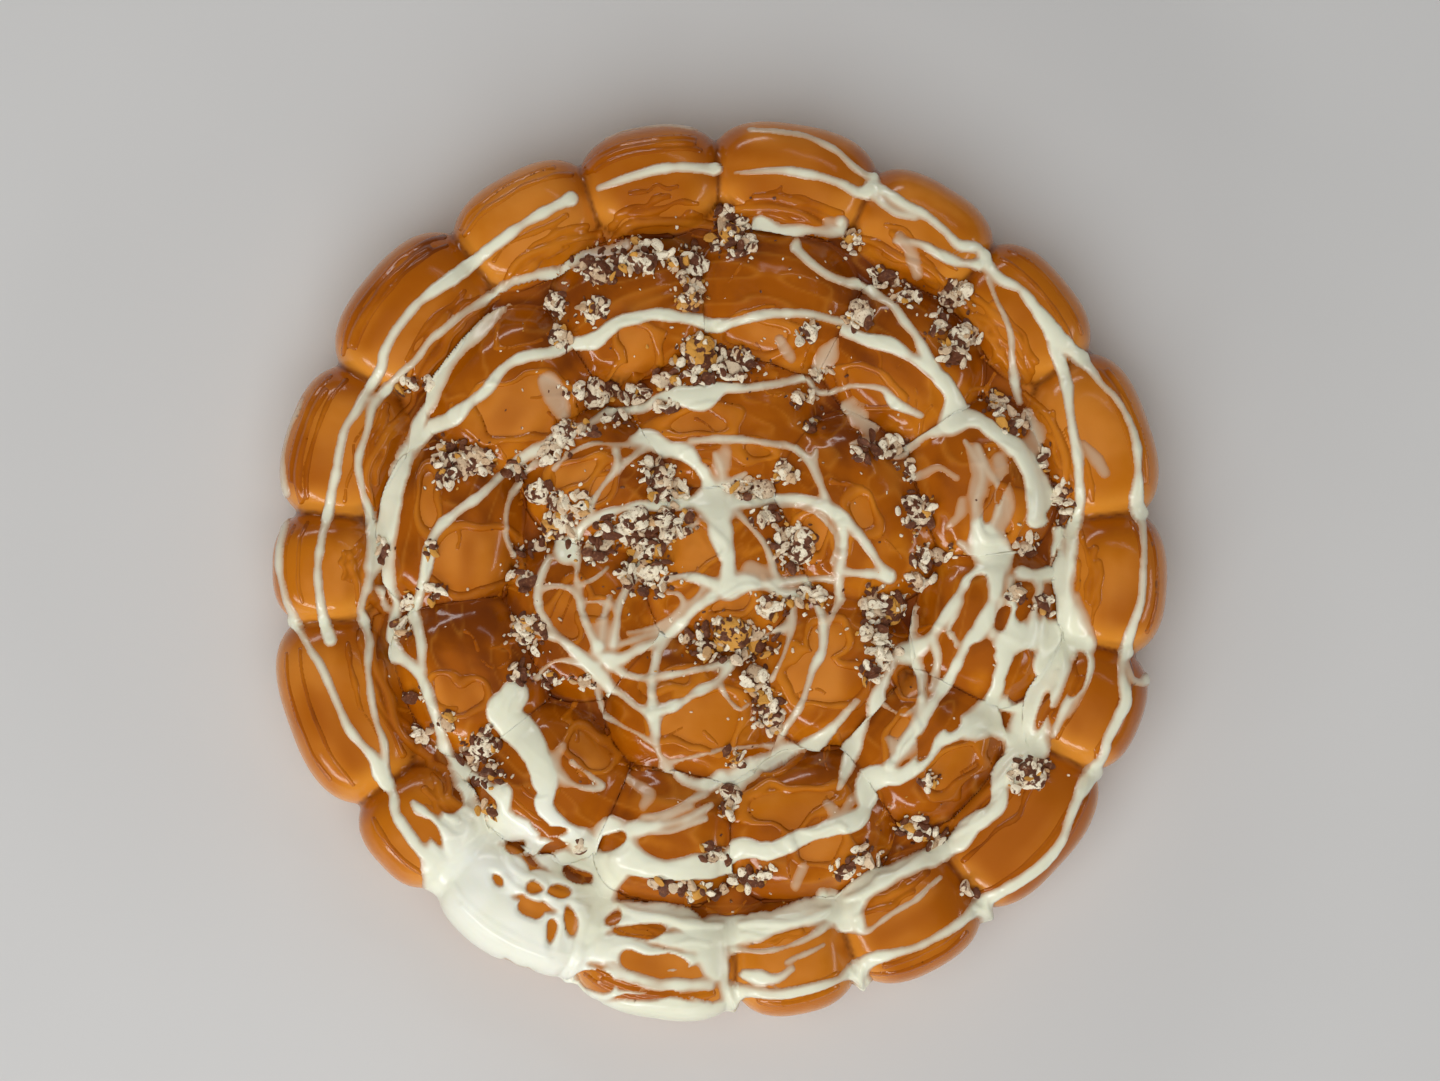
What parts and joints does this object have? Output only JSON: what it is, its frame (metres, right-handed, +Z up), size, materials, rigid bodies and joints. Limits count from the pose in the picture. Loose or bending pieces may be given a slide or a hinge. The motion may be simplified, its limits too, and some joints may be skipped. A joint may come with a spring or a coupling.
{
  "type": "pecan honeycomb bun",
  "caption": "Round pull-apart honeycomb bun of small domes, caramel glazed, with chopped pecans in the seams and drizzled white icing.",
  "frame": {"origin": "middle of the flat underside, where the loaf rests", "axes": "+Z up out of the glazed top, +X and +Y level, with +Y towards the upper edge of the picture"},
  "size_m": [0.2992, 0.2999, 0.0498],
  "materials": {
    "glazed_crust": "gloss",
    "pecan": "matte"
  },
  "bodies": {
    "root": {"bread": "glazed_crust", "pecan_01": "pecan", "pecan_02": "pecan", "pecan_03": "pecan", "pecan_04": "pecan", "pecan_05": "pecan", "pecan_06": "pecan", "pecan_07": "pecan", "pecan_08": "pecan", "pecan_09": "pecan", "pecan_10": "pecan", "pecan_11": "pecan", "pecan_12": "pecan", "pecan_13": "pecan", "pecan_14": "pecan", "pecan_15": "pecan", "pecan_16": "pecan", "pecan_17": "pecan", "pecan_18": "pecan", "pecan_19": "pecan", "pecan_20": "pecan", "pecan_21": "pecan", "pecan_22": "pecan", "pecan_23": "pecan", "pecan_24": "pecan", "pecan_25": "pecan", "pecan_26": "pecan", "pecan_27": "pecan", "pecan_28": "pecan", "pecan_29": "pecan", "pecan_30": "pecan"}
  },
  "joints": []
}
